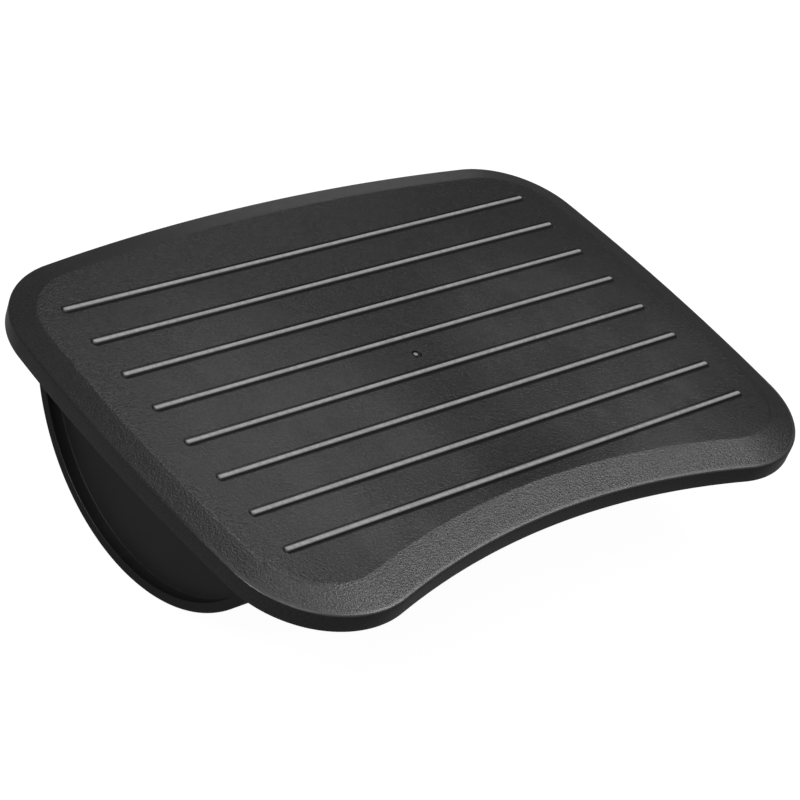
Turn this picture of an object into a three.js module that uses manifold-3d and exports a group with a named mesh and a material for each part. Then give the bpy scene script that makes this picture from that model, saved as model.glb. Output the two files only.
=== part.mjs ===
import * as THREE from 'three';
import { mergeVertices } from 'three/addons/utils/BufferGeometryUtils.js';
import Module from 'manifold-3d';

// Rocking footrest: a foot plate with grip strips, screwed to a half drum that rolls on the floor.
// Sizes are in millimetres. +X runs along the width, -Y faces the sitter and +Z is up.
// The origin is on the floor, under the middle of the level footrest.

// Foot plate, seen from above
const plateWidth = 463;
const plateDepth = 333;
const sideCrownRadius = 1300;
const sideCrownBehindMiddle = 7.8;
const backCrownRadius = 1325;
const backCornerRadius = 62.5;
const frontCornerRadius = 63.5;
const bayDepth = 22;

// Sloped border between the flat panel and the skirt
const sideBorder = 16;
const frontBorder = 24;
const backBorder = 15.5;
const panelFrontCornerRadius = 45;
const panelBackCornerRadius = 47;
const borderDrop = 3.2;

// Foot plate, in section
const plateWall = 3;
const skirtDepth = 12;
const edgeRound = 1.5;
const skirtChamfer = 0.6;
const underRibThickness = 1.8;
const underRibSetback = 3;
const underRibPitch = 44.5;
const drumRibGap = 1;

// Grip strips in their grooves
const stripCount = 8;
const stripPitch = 31.2;
const stripRowsBehindMiddle = 0.8;
const stripEndMargin = 40;
const stripWidth = 3.2;
const stripProud = 1.2;
const stripCrown = 0.8;
const stripCrownInset = 0.9;
const grooveDepth = 1.5;
const stripClearance = 0.3;

// Mark left by the moulding gate, in the middle of the panel
const gateMarkRadius = 3.5;
const gateMarkDepth = 0.5;
const gateStubRadius = 1.2;
const gateStubHeight = 0.35;

// Rocker drum
const drumRadius = 118;
const drumAxisAbovePanel = 16.8;
const drumEndSetback = 27.1;
const drumWall = 3.2;
const rimThickness = 6.2;
const rimBandWidth = 30;
const rimChamfer = 0.8;
const sidePanelSetback = 8.4;
const sidePanelThickness = 3;
const bulkheadCount = 3;
const bulkheadThickness = 2;
const seatGap = 0.3;

// Floor treads
const treadWidth = 16;
const treadProud = 0.8;
const treadGrooveDepth = 1.4;
const treadChamfer = 0.6;
const treadClearance = 0.3;
const treadHalfAngle = THREE.MathUtils.degToRad(42.5);

// Screws, their bosses under the plate and their wells in the drum
const screwRadius = 1.9;
const screwReach = 9;
const screwTipLength = 2;
const screwHeadRadius = 3.8;
const screwHeadHeight = 2.4;
const screwHeadEdge = 0.9;
const recessLength = 4.4;
const recessWidth = 0.9;
const recessDepth = 1.3;
const screwClearance = 0.3;
const bossRadius = 4.5;
const bossLength = 14;
const bossPilotSpare = 1;
const wellRadius = 5;
const wellWall = 2;
const wellFloor = 2.5;
const wellInset = 5.5;

// Tabs under the plate that locate the drum
const tabThickness = 2;
const tabDepth = 6;
const tabClearance = 0.4;
const tabLengthShare = 0.55;

// How far a cutting solid runs past what it cuts
const overrun = 5;

// Facets of the round stretches
const bayFacets = 7;
const frontCornerFacets = 10;
const flankFacets = 6;
const backCornerFacets = 9;
const rearFacets = 7;
const stripEndFacets = 6;
const roundFacets = 16;
const drumFacetAngle = THREE.MathUtils.degToRad(5);

// Heights and places that follow from the sizes above
const stripLength = plateWidth - 2 * stripEndMargin;
const drumLength = plateWidth - 2 * drumEndSetback;
const axisHeight = treadProud + drumRadius;
const panelTop = axisHeight - drumAxisAbovePanel;
const panelUnderside = panelTop - plateWall;
const edgeTop = panelTop - borderDrop;
const skirtBottom = edgeTop - skirtDepth;
const drumTop = panelUnderside - seatGap;
const bossEnd = panelUnderside - bossLength;
const wellSeat = bossEnd - seatGap;
const wellFloorUnderside = wellSeat - wellFloor;
const sidePanelFace = drumLength / 2 - sidePanelSetback;
const sidePanelInside = sidePanelFace - sidePanelThickness;
const rimBandInside = drumLength / 2 - rimBandWidth;
const cellPitch = 2 * sidePanelInside / (bulkheadCount + 1);
const treadCentre = drumLength / 2 - rimBandWidth / 2;
const treadFloorRadius = drumRadius - treadGrooveDepth;
const screwRowOffset = halfChord(drumRadius - drumWall, wellSeat) - wellRadius - wellWall - wellInset;
const flankCentre = new THREE.Vector2(plateWidth / 2 - sideCrownRadius, sideCrownBehindMiddle);
const rearCentre = new THREE.Vector2(0, plateDepth / 2 - backCrownRadius);
const bay = bayCircle();

const wasm = await Module();
wasm.setup();

// Half the width of a round of the drum, at a height under the drum's axis
function halfChord(radius, height) {
  const belowAxis = axisHeight - height;
  return Math.sqrt(radius * radius - belowAxis * belowAxis);
}

// The concave front edge is one arc, tangent to both front corners
function bayCircle() {
  const cornerY = frontCornerRadius - plateDepth / 2;
  const flankReach = sideCrownRadius - frontCornerRadius;
  const cornerRise = cornerY - flankCentre.y;
  const cornerX = flankCentre.x + Math.sqrt(flankReach * flankReach - cornerRise * cornerRise);
  const cornerPastBay = frontCornerRadius - bayDepth;
  const squares = cornerX * cornerX + cornerPastBay * cornerPastBay - frontCornerRadius * frontCornerRadius;
  const radius = squares / (2 * bayDepth);
  const centre = new THREE.Vector2(0, bayDepth - plateDepth / 2 - radius);
  return { centre, radius };
}

// Of the two points where two circles cross, the one with the larger y
function upperCrossing(centreA, radiusA, centreB, radiusB) {
  const apart = centreA.distanceTo(centreB);
  const along = (apart * apart + radiusA * radiusA - radiusB * radiusB) / (2 * apart);
  const aside = Math.sqrt(radiusA * radiusA - along * along);
  const towards = centreB.clone().sub(centreA).normalize();
  const foot = centreA.clone().addScaledVector(towards, along);
  const across = new THREE.Vector2(-towards.y, towards.x);
  const turn = Math.sign(across.y);
  return foot.addScaledVector(across, turn * aside);
}

// Points of an arc from one angle to another, without its last point
function arcPoints(centre, radius, from, to, facets) {
  const points = [];
  for (let i = 0; i < facets; i += 1) {
    const angle = from + (to - from) * i / facets;
    const spoke = new THREE.Vector2(Math.cos(angle), Math.sin(angle));
    points.push(centre.clone().addScaledVector(spoke, radius));
  }
  return points;
}

function angleFrom(centre, point) {
  return Math.atan2(point.y - centre.y, point.x - centre.x);
}

// Closed outline of tangent arcs, set in from the plate's edge at the front, sides and back
function platformOutline(front, side, back, frontCorner, backCorner) {
  const bayRadius = bay.radius + front;
  const flankRadius = sideCrownRadius - side;
  const rearRadius = backCrownRadius - back;
  const frontCentre = upperCrossing(
    bay.centre, bayRadius + frontCorner, flankCentre, flankRadius - frontCorner);
  const backCentre = upperCrossing(
    rearCentre, rearRadius - backCorner, flankCentre, flankRadius - backCorner);
  const straightBack = Math.PI / 2;
  const rightHalf = [
    ...arcPoints(bay.centre, bayRadius, straightBack, angleFrom(bay.centre, frontCentre), bayFacets),
    ...arcPoints(frontCentre, frontCorner,
      angleFrom(frontCentre, bay.centre), angleFrom(flankCentre, frontCentre), frontCornerFacets),
    ...arcPoints(flankCentre, flankRadius,
      angleFrom(flankCentre, frontCentre), angleFrom(flankCentre, backCentre), flankFacets),
    ...arcPoints(backCentre, backCorner,
      angleFrom(flankCentre, backCentre), angleFrom(rearCentre, backCentre), backCornerFacets),
    ...arcPoints(rearCentre, rearRadius, angleFrom(rearCentre, backCentre), straightBack, rearFacets),
  ];
  const backMiddle = new THREE.Vector2(0, rearCentre.y + rearRadius);
  const leftHalf = rightHalf.slice(1).reverse().map((point) => new THREE.Vector2(-point.x, point.y));
  return [...rightHalf, backMiddle, ...leftHalf];
}

function edgeOutline(inset) {
  return platformOutline(inset, inset, inset, frontCornerRadius - inset, backCornerRadius - inset);
}

function panelOutline() {
  return platformOutline(
    frontBorder, sideBorder, backBorder, panelFrontCornerRadius, panelBackCornerRadius);
}

// Outline with two round ends, as a strip or its groove has
function slotOutline(length, width) {
  const radius = width / 2;
  const reach = length / 2 - radius;
  const right = new THREE.Vector2(reach, 0);
  const left = new THREE.Vector2(-reach, 0);
  const quarter = Math.PI / 2;
  return [
    ...arcPoints(right, radius, -quarter, quarter, stripEndFacets),
    right.clone().setY(radius),
    ...arcPoints(left, radius, quarter, 3 * quarter, stripEndFacets),
    left.clone().setY(-radius),
  ];
}

// A point of the drum's section. Every radius is faceted alike, with one facet flat on the floor.
function drumPoint(radius, angle) {
  const facetMiddle = Math.round(angle / drumFacetAngle) * drumFacetAngle;
  const spoke = radius / Math.cos(angle - facetMiddle);
  return new THREE.Vector2(spoke * Math.sin(angle), axisHeight - spoke * Math.cos(angle));
}

function drumArc(radius, halfAngle) {
  const points = [drumPoint(radius, -halfAngle)];
  const cornerCount = Math.ceil(halfAngle / drumFacetAngle);
  for (let i = -cornerCount; i < cornerCount; i += 1) {
    const angle = (i + 1 / 2) * drumFacetAngle;
    const room = halfAngle - Math.abs(angle);
    if (room > drumFacetAngle / 1000) points.push(drumPoint(radius, angle));
  }
  points.push(drumPoint(radius, halfAngle));
  return points;
}

function halfDisc(radius) {
  return drumArc(radius, Math.PI / 2);
}

function ringSector(innerRadius, outerRadius, halfAngle) {
  return [...drumArc(outerRadius, halfAngle), ...drumArc(innerRadius, halfAngle).reverse()];
}

// Closed skin through outlines of equal point count, each at its own height
function loft(sections) {
  const count = sections[0].outline.length;
  const positions = sections.flatMap(
    (section) => section.outline.flatMap((point) => [point.x, point.y, section.at]));
  const cap = THREE.ShapeUtils.triangulateShape(sections[0].outline, []);
  const lastCap = THREE.ShapeUtils.triangulateShape(sections[sections.length - 1].outline, []);
  const top = (sections.length - 1) * count;
  const index = [];
  cap.forEach(([a, b, c]) => index.push(a, c, b));
  lastCap.forEach(([a, b, c]) => index.push(top + a, top + b, top + c));
  for (let level = 0; level < sections.length - 1; level += 1) {
    const low = level * count;
    const high = low + count;
    for (let i = 0; i < count; i += 1) {
      const next = (i + 1) % count;
      index.push(low + i, low + next, high + next);
      index.push(low + i, high + next, high + i);
    }
  }
  const geometry = new THREE.BufferGeometry();
  geometry.setAttribute('position', new THREE.Float32BufferAttribute(positions, 3));
  geometry.setIndex(index);
  return geometry;
}

// The same skin, with its outlines in the YZ plane and its levels along X
function loftAlongX(sections) {
  const turn = new THREE.Matrix4().makeBasis(
    new THREE.Vector3(0, 1, 0), new THREE.Vector3(0, 0, 1), new THREE.Vector3(1, 0, 0));
  return loft(sections).applyMatrix4(turn);
}

function toSolid(geometry) {
  const bare = geometry.clone();
  bare.deleteAttribute('normal');
  bare.deleteAttribute('uv');
  const merged = mergeVertices(bare);
  const mesh = new wasm.Mesh({
    numProp: 3,
    vertProperties: new Float32Array(merged.attributes.position.array),
    triVerts: new Uint32Array(merged.index.array),
  });
  return new wasm.Manifold(mesh);
}

function toGeometry(solid) {
  const mesh = solid.getMesh();
  const geometry = new THREE.BufferGeometry();
  geometry.setAttribute('position', new THREE.BufferAttribute(mesh.vertProperties, 3));
  geometry.setIndex(new THREE.BufferAttribute(mesh.triVerts, 1));
  geometry.computeVertexNormals();
  return geometry;
}

function join(first, others) {
  return others.reduce((whole, piece) => whole.add(piece), first);
}

function cut(first, others) {
  return others.reduce((whole, piece) => whole.subtract(piece), first);
}

// Box between two corners
function block(low, high) {
  const size = high.clone().sub(low);
  const centre = low.clone().add(high).multiplyScalar(1 / 2);
  const geometry = new THREE.BoxGeometry(size.x, size.y, size.z);
  geometry.translate(centre.x, centre.y, centre.z);
  return toSolid(geometry);
}

// Upright round bar
function bar(x, y, bottom, top, radius) {
  const geometry = new THREE.CylinderGeometry(radius, radius, top - bottom, roundFacets);
  geometry.rotateX(Math.PI / 2);
  geometry.translate(x, y, (bottom + top) / 2);
  return toSolid(geometry);
}

function discBody(radius, from, to) {
  const outline = halfDisc(radius);
  return toSolid(loftAlongX([{ outline, at: from }, { outline, at: to }]));
}

// Places of the patterns
function centredSteps(count, pitch) {
  return Array.from({ length: count }, (unused, i) => (i - (count - 1) / 2) * pitch);
}

function stripPlaces() {
  return centredSteps(stripCount, stripPitch).reverse().map((y) => y + stripRowsBehindMiddle);
}

function bulkheadPlaces() {
  return centredSteps(bulkheadCount, cellPitch);
}

function cellMiddles() {
  return centredSteps(bulkheadCount + 1, cellPitch);
}

function screwPlaces() {
  return [screwRowOffset, -screwRowOffset].flatMap((y) => cellMiddles().map((x) => ({ x, y })));
}

// Foot plate

function plateOutside() {
  const roundShare = 1 - Math.SQRT1_2;
  const quarterRound = edgeRound * roundShare;
  return toSolid(loft([
    { outline: edgeOutline(skirtChamfer), at: skirtBottom },
    { outline: edgeOutline(0), at: skirtBottom + skirtChamfer },
    { outline: edgeOutline(0), at: edgeTop - edgeRound },
    { outline: edgeOutline(quarterRound), at: edgeTop - quarterRound },
    { outline: edgeOutline(edgeRound), at: edgeTop },
    { outline: panelOutline(), at: panelTop },
  ]));
}

// What lies inside the plate's skin at a depth under its outer faces
function plateInside(depth) {
  return toSolid(loft([
    { outline: edgeOutline(depth), at: skirtBottom - overrun },
    { outline: edgeOutline(depth), at: edgeTop - depth },
    { outline: panelOutline(), at: panelTop - depth },
  ]));
}

// Ribs between the skirt and the drum: across at the front and back, along at the two sides
function underRibs() {
  const low = skirtBottom + underRibSetback;
  const high = panelTop;
  const half = underRibThickness / 2;
  const drumFront = halfChord(drumRadius, drumTop) + drumRibGap;
  const drumEnd = drumLength / 2 + drumRibGap;
  const reachX = plateWidth / 2;
  const reachY = plateDepth / 2;
  const acrossCount = 2 * Math.floor((drumEnd - underRibPitch / 2) / underRibPitch) + 1;
  const alongCount = 2 * Math.floor(drumFront / underRibPitch) + 1;
  const ribs = [];
  centredSteps(acrossCount, underRibPitch).forEach((x) => {
    ribs.push(block(new THREE.Vector3(x - half, drumFront, low), new THREE.Vector3(x + half, reachY, high)));
    ribs.push(block(new THREE.Vector3(x - half, -reachY, low), new THREE.Vector3(x + half, -drumFront, high)));
  });
  centredSteps(alongCount, underRibPitch).forEach((y) => {
    ribs.push(block(new THREE.Vector3(drumEnd, y - half, low), new THREE.Vector3(reachX, y + half, high)));
    ribs.push(block(new THREE.Vector3(-reachX, y - half, low), new THREE.Vector3(-drumEnd, y + half, high)));
  });
  return ribs;
}

// Tabs that stand just inside the drum's walls
function locatingTabs() {
  const low = panelUnderside - tabDepth;
  const high = panelUnderside + plateWall / 2;
  const halfLength = cellPitch * tabLengthShare / 2;
  const faceY = halfChord(drumRadius - drumWall, low) - tabClearance;
  const faceX = sidePanelInside - tabClearance;
  const tabs = [];
  cellMiddles().forEach((x) => {
    const left = x - halfLength;
    const right = x + halfLength;
    tabs.push(block(new THREE.Vector3(left, faceY - tabThickness, low), new THREE.Vector3(right, faceY, high)));
    tabs.push(block(new THREE.Vector3(left, -faceY, low), new THREE.Vector3(right, tabThickness - faceY, high)));
  });
  tabs.push(block(
    new THREE.Vector3(faceX - tabThickness, -halfLength, low), new THREE.Vector3(faceX, halfLength, high)));
  tabs.push(block(
    new THREE.Vector3(-faceX, -halfLength, low), new THREE.Vector3(tabThickness - faceX, halfLength, high)));
  return tabs;
}

function stripGroove(y) {
  const outline = slotOutline(stripLength + 2 * stripClearance, stripWidth + 2 * stripClearance);
  const geometry = loft([
    { outline, at: panelTop - grooveDepth },
    { outline, at: panelTop + overrun },
  ]);
  return toSolid(geometry.translate(0, y, 0));
}

function footPlate() {
  const shell = plateOutside().subtract(plateInside(plateWall));
  const core = plateInside(plateWall / 2);
  const ribs = underRibs().map((rib) => rib.intersect(core));
  const bosses = screwPlaces().map(({ x, y }) => bar(x, y, bossEnd, panelUnderside + plateWall / 2, bossRadius));
  const pilotTop = wellSeat + screwReach + bossPilotSpare;
  const pilots = screwPlaces().map(
    ({ x, y }) => bar(x, y, bossEnd - overrun, pilotTop, screwRadius + screwClearance));
  const gateFloor = panelTop - gateMarkDepth;
  const gateY = stripRowsBehindMiddle;
  const gateMark = bar(0, gateY, gateFloor, panelTop + overrun, gateMarkRadius);
  const gateStub = bar(0, gateY, gateFloor - plateWall / 2, gateFloor + gateStubHeight, gateStubRadius);
  const moulded = join(shell, [...ribs, ...bosses, ...locatingTabs()]);
  const opened = cut(moulded, [...stripPlaces().map(stripGroove), ...pilots, gateMark]);
  return toGeometry(opened.add(gateStub));
}

// Grip strips

function gripStrip() {
  const top = panelTop + stripProud;
  const shoulder = top - stripCrown;
  const halfInset = stripCrownInset / 3;
  return loft([
    { outline: slotOutline(stripLength, stripWidth), at: panelTop - grooveDepth + stripClearance },
    { outline: slotOutline(stripLength, stripWidth), at: shoulder },
    { outline: slotOutline(stripLength - 2 * halfInset, stripWidth - 2 * halfInset), at: top - stripCrown / 3 },
    { outline: slotOutline(stripLength - 2 * stripCrownInset, stripWidth - 2 * stripCrownInset), at: top },
  ]);
}

// Rocker drum

function drumOutside() {
  const end = drumLength / 2;
  return toSolid(loftAlongX([
    { outline: halfDisc(drumRadius - rimChamfer), at: -end },
    { outline: halfDisc(drumRadius), at: rimChamfer - end },
    { outline: halfDisc(drumRadius), at: end - rimChamfer },
    { outline: halfDisc(drumRadius - rimChamfer), at: end },
  ]));
}

function screwWells() {
  const backing = discBody(drumRadius - drumWall / 2, -drumLength / 2, drumLength / 2);
  return screwPlaces().map(
    ({ x, y }) => bar(x, y, 0, wellSeat, wellRadius + wellWall).intersect(backing));
}

function wellOpenings() {
  return screwPlaces().flatMap(({ x, y }) => [
    bar(x, y, -overrun, wellFloorUnderside, wellRadius),
    bar(x, y, wellFloorUnderside - overrun, wellSeat + overrun, screwRadius + screwClearance),
  ]);
}

function treadGroove(centre) {
  const endClearance = treadClearance / drumRadius;
  const halfWidth = treadWidth / 2 + treadClearance;
  const outline = ringSector(treadFloorRadius, drumRadius + overrun, treadHalfAngle + endClearance);
  return toSolid(loftAlongX([
    { outline, at: centre - halfWidth },
    { outline, at: centre + halfWidth },
  ]));
}

function rockerDrum() {
  const end = drumLength / 2 + overrun;
  const rimHollow = drumRadius - rimThickness;
  const hollows = [
    discBody(drumRadius - drumWall, -rimBandInside, rimBandInside),
    discBody(rimHollow, -sidePanelInside, sidePanelInside),
    discBody(rimHollow, sidePanelFace, end),
    discBody(rimHollow, -end, -sidePanelFace),
  ];
  const bulkheads = bulkheadPlaces().map((x) => discBody(
    drumRadius - drumWall / 2, x - bulkheadThickness / 2, x + bulkheadThickness / 2));
  const walls = join(cut(drumOutside(), hollows), [...bulkheads, ...screwWells()]);
  const opened = cut(walls, [...wellOpenings(), treadGroove(treadCentre), treadGroove(-treadCentre)]);
  const aboveDrum = block(
    new THREE.Vector3(-end, -drumRadius - overrun, drumTop),
    new THREE.Vector3(end, drumRadius + overrun, axisHeight + overrun));
  return toGeometry(opened.subtract(aboveDrum));
}

// Floor treads

function floorTread() {
  const inner = treadFloorRadius + treadClearance;
  const outer = drumRadius + treadProud;
  const half = treadWidth / 2;
  const edge = ringSector(inner, outer - treadChamfer, treadHalfAngle);
  const full = ringSector(inner, outer, treadHalfAngle);
  return loftAlongX([
    { outline: edge, at: -half },
    { outline: full, at: treadChamfer - half },
    { outline: full, at: half - treadChamfer },
    { outline: edge, at: half },
  ]);
}

// Screws, head down, with the head's upper face at height zero

function screw() {
  const shankTop = wellFloor + seatGap + screwReach;
  const profile = [
    new THREE.Vector2(0, -screwHeadHeight),
    new THREE.Vector2(screwHeadRadius - screwHeadEdge, -screwHeadHeight),
    new THREE.Vector2(screwHeadRadius, screwHeadEdge - screwHeadHeight),
    new THREE.Vector2(screwHeadRadius, 0),
    new THREE.Vector2(screwRadius, 0),
    new THREE.Vector2(screwRadius, shankTop - screwTipLength),
    new THREE.Vector2(0, shankTop),
  ];
  const turned = new THREE.LatheGeometry(profile, roundFacets);
  turned.rotateX(Math.PI / 2);
  const long = recessLength / 2;
  const narrow = recessWidth / 2;
  const mouth = -screwHeadHeight - overrun;
  const bottom = recessDepth - screwHeadHeight;
  const slots = [
    block(new THREE.Vector3(-long, -narrow, mouth), new THREE.Vector3(long, narrow, bottom)),
    block(new THREE.Vector3(-narrow, -long, mouth), new THREE.Vector3(narrow, long, bottom)),
  ];
  return toGeometry(cut(toSolid(turned), slots));
}

// Materials

const platePlastic = new THREE.MeshStandardMaterial({ color: 0x303031, roughness: 0.62, metalness: 0 });
const drumPlastic = new THREE.MeshStandardMaterial({ color: 0x232324, roughness: 0.5, metalness: 0 });
const stripRubber = new THREE.MeshStandardMaterial({ color: 0x929292, roughness: 0.75, metalness: 0 });
const treadRubber = new THREE.MeshStandardMaterial({ color: 0x19191a, roughness: 0.85, metalness: 0 });
const screwSteel = new THREE.MeshStandardMaterial({ color: 0x8c8e90, roughness: 0.35, metalness: 1 });

// Assembly

function place(parent, name, geometry, material, x, y, z) {
  const mesh = new THREE.Mesh(geometry, material);
  mesh.name = name;
  mesh.position.set(x, y, z);
  parent.add(mesh);
}

const footrest = new THREE.Group();
place(footrest, 'foot_plate', footPlate(), platePlastic, 0, 0, 0);
place(footrest, 'rocker_drum', rockerDrum(), drumPlastic, 0, 0, 0);

const stripShape = gripStrip();
stripPlaces().forEach((y, i) => {
  place(footrest, `grip_strip_${i + 1}`, stripShape, stripRubber, 0, y, 0);
});

const treadShape = floorTread();
place(footrest, 'floor_tread_left', treadShape, treadRubber, -treadCentre, 0, 0);
place(footrest, 'floor_tread_right', treadShape, treadRubber, treadCentre, 0, 0);

const screwShape = screw();
screwPlaces().forEach(({ x, y }, i) => {
  place(footrest, `screw_${i + 1}`, screwShape, screwSteel, x, y, wellFloorUnderside - seatGap);
});

export default footrest;
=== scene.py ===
import math

import bmesh
import bpy
from mathutils import Matrix, Vector


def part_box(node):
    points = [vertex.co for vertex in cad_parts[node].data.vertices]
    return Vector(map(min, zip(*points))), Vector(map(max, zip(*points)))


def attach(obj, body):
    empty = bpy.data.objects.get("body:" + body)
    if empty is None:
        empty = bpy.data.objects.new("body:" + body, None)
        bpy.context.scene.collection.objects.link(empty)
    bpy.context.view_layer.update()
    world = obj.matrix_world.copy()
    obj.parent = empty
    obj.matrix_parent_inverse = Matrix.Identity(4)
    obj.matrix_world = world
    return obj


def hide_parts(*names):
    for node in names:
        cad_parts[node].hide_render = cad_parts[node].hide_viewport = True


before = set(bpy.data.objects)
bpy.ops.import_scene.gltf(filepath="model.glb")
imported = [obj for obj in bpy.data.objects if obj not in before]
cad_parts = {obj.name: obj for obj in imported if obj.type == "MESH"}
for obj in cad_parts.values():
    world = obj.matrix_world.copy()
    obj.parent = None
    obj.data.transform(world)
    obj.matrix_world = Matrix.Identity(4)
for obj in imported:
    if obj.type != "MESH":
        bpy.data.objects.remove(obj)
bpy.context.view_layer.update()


# Foot plate: the moulded top that both shoes stand on. It is one shot of dark grey plastic with a fine
# spark-eroded grain, a flat panel, a border that slopes to a rounded edge, and a turned-down skirt.
# Ribs, screw bosses and locating tabs are moulded under it.

mm = 0.001
quarter_turn = math.pi / 2
whole_turn = 2 * math.pi

plate_low, plate_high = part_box("foot_plate")
panel_top = plate_high.z
plate_wall = 3 * mm
panel_underside = panel_top - plate_wall
border_drop = 3.2 * mm
edge_top = panel_top - border_drop
edge_round = 1.5 * mm
skirt_depth = 12 * mm
skirt_bottom = edge_top - skirt_depth
skirt_round = 0.6 * mm
crease_round = 0.5 * mm
crease_margin = 3 * mm

half_width = plate_high.x
half_depth = min(plate_high.y, -plate_low.y)
side_crown_radius = 1300 * mm
side_crown_behind_middle = 7.8 * mm
back_crown_radius = 1325 * mm
back_corner_radius = 62.5 * mm
front_corner_radius = 63.5 * mm
bay_depth = 22 * mm
side_border = 16 * mm
front_border = 24 * mm
back_border = 15.5 * mm
panel_front_corner_radius = 45 * mm
panel_back_corner_radius = 47 * mm
bay_steps = 34
front_corner_steps = 44
flank_steps = 30
back_corner_steps = 38
back_steps = 34

flank_centre = Vector((half_width - side_crown_radius, side_crown_behind_middle))
rear_centre = Vector((0, half_depth - back_crown_radius))


def angle_from(centre, point):
    """The direction from a centre to a point, in radians from +x."""
    return math.atan2(point.y - centre.y, point.x - centre.x)


def arc(centre, radius, start, end, steps):
    """Points of an arc, without its last one."""
    angles = [start + (end - start) * i / steps for i in range(steps)]
    return [centre + radius * Vector((math.cos(a), math.sin(a))) for a in angles]


def upper_crossing(centre_a, radius_a, centre_b, radius_b):
    """Of the two points where two circles cross, the one with the larger y."""
    apart = (centre_b - centre_a).length
    along = (apart * apart + radius_a * radius_a - radius_b * radius_b) / (2 * apart)
    aside = math.sqrt(radius_a * radius_a - along * along)
    towards = (centre_b - centre_a).normalized()
    across = Vector((-towards.y, towards.x))
    return centre_a + towards * along + across * math.copysign(aside, across.y)


def bay_circle():
    """The concave front edge is one arc, tangent to both front corners."""
    corner_y = front_corner_radius - half_depth
    flank_reach = side_crown_radius - front_corner_radius
    corner_x = flank_centre.x + math.sqrt(flank_reach ** 2 - (corner_y - flank_centre.y) ** 2)
    past_bay = front_corner_radius - bay_depth
    radius = (corner_x ** 2 + past_bay ** 2 - front_corner_radius ** 2) / (2 * bay_depth)
    return Vector((0, bay_depth - half_depth - radius)), radius


bay_centre, bay_radius = bay_circle()


def platform_outline(front, side, back, front_corner, back_corner):
    """Closed outline of tangent arcs, set in from the plate's edge at the front, sides and back."""
    bay = bay_radius + front
    flank = side_crown_radius - side
    rear = back_crown_radius - back
    front_centre = upper_crossing(bay_centre, bay + front_corner, flank_centre, flank - front_corner)
    back_centre = upper_crossing(rear_centre, rear - back_corner, flank_centre, flank - back_corner)
    bay_end = angle_from(bay_centre, front_centre)
    corner_start = angle_from(front_centre, bay_centre)
    flank_start = angle_from(flank_centre, front_centre)
    flank_end = angle_from(flank_centre, back_centre)
    back_start = angle_from(rear_centre, back_centre)
    right = [
        *arc(bay_centre, bay, quarter_turn, bay_end, bay_steps),
        *arc(front_centre, front_corner, corner_start, flank_start, front_corner_steps),
        *arc(flank_centre, flank, flank_start, flank_end, flank_steps),
        *arc(back_centre, back_corner, flank_end, back_start, back_corner_steps),
        *arc(rear_centre, rear, back_start, quarter_turn, back_steps),
    ]
    left = [Vector((-p.x, p.y)) for p in reversed(right[1:])]
    return [*right, rear_centre + Vector((0, rear)), *left]


def edge_outline(inset):
    """The plate's outer edge, set in evenly all round."""
    return platform_outline(
        inset, inset, inset, front_corner_radius - inset, back_corner_radius - inset)


panel_edge = platform_outline(
    front_border, side_border, back_border, panel_front_corner_radius, panel_back_corner_radius)
outer_edge = edge_outline(0)
outward = [(a - b).normalized() for a, b in zip(outer_edge, edge_outline(edge_round))]


def ring(mesh, points, heights):
    """A closed loop of vertices at one height, or at one height for each point."""
    if not isinstance(heights, (list, tuple)):
        heights = [heights] * len(points)
    return [mesh.verts.new((p.x, p.y, h)) for p, h in zip(points, heights)]


def bridge(mesh, rings):
    """Faces between each ring and the next."""
    for one, other in zip(rings, rings[1:]):
        for i in range(len(one)):
            j = (i + 1) % len(one)
            mesh.faces.new((one[i], one[j], other[j], other[i]))


def close(mesh, rings):
    """A closed solid from rings, the first and last of which become its end faces."""
    bridge(mesh, rings)
    mesh.faces.new(rings[0])
    mesh.faces.new(rings[-1])


def fill(mesh, rings):
    """A flat face bounded by the first ring, with the others as holes."""
    sides = [pair for r in rings for pair in zip(r, r[1:] + r[:1])]
    edges = [mesh.edges.get(pair) or mesh.edges.new(pair) for pair in sides]
    bmesh.ops.triangle_fill(mesh, use_beauty=True, edges=edges)


sharp_corner = math.radians(35)


def smooth(made):
    """Shades an object smooth, but for its sharp corners."""
    mesh = bmesh.new()
    mesh.from_mesh(made.data)
    for face in mesh.faces:
        face.smooth = True
    for edge in mesh.edges:
        edge.smooth = not edge.is_manifold or edge.calc_face_angle(0) < sharp_corner
    mesh.to_mesh(made.data)
    mesh.free()


def piece(name, mesh):
    """An object from a closed mesh, smooth but for its sharp corners."""
    bmesh.ops.recalc_face_normals(mesh, faces=mesh.faces)
    data = bpy.data.meshes.new(name)
    mesh.to_mesh(data)
    mesh.free()
    made = bpy.data.objects.new(name, data)
    bpy.context.scene.collection.objects.link(made)
    smooth(made)
    return made


def carve(made, tool, operation):
    """Joins or cuts one object with another, which is then deleted."""
    step = made.modifiers.new("carve", "BOOLEAN")
    step.operation = operation
    step.solver = "EXACT"
    step.object = tool
    bpy.context.view_layer.update()
    carved = made.evaluated_get(bpy.context.evaluated_depsgraph_get())
    data = bpy.data.meshes.new_from_object(carved)
    made.modifiers.clear()
    made.data = data
    bpy.data.objects.remove(tool)


strip_names = [f"grip_strip_{i}" for i in range(1, 9)]
strip_boxes = [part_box(name) for name in strip_names]
strip_centres = [(low + high) / 2 for low, high in strip_boxes]
strip_length = strip_boxes[0][1].x - strip_boxes[0][0].x
strip_width = strip_boxes[0][1].y - strip_boxes[0][0].y
round_end_steps = 14
groove_clearance = 0.3 * mm
groove_depth = 1.5 * mm
groove_lip = 0.3 * mm
groove_lip_share = 0.3
flat_margin = 1.2 * mm


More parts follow.
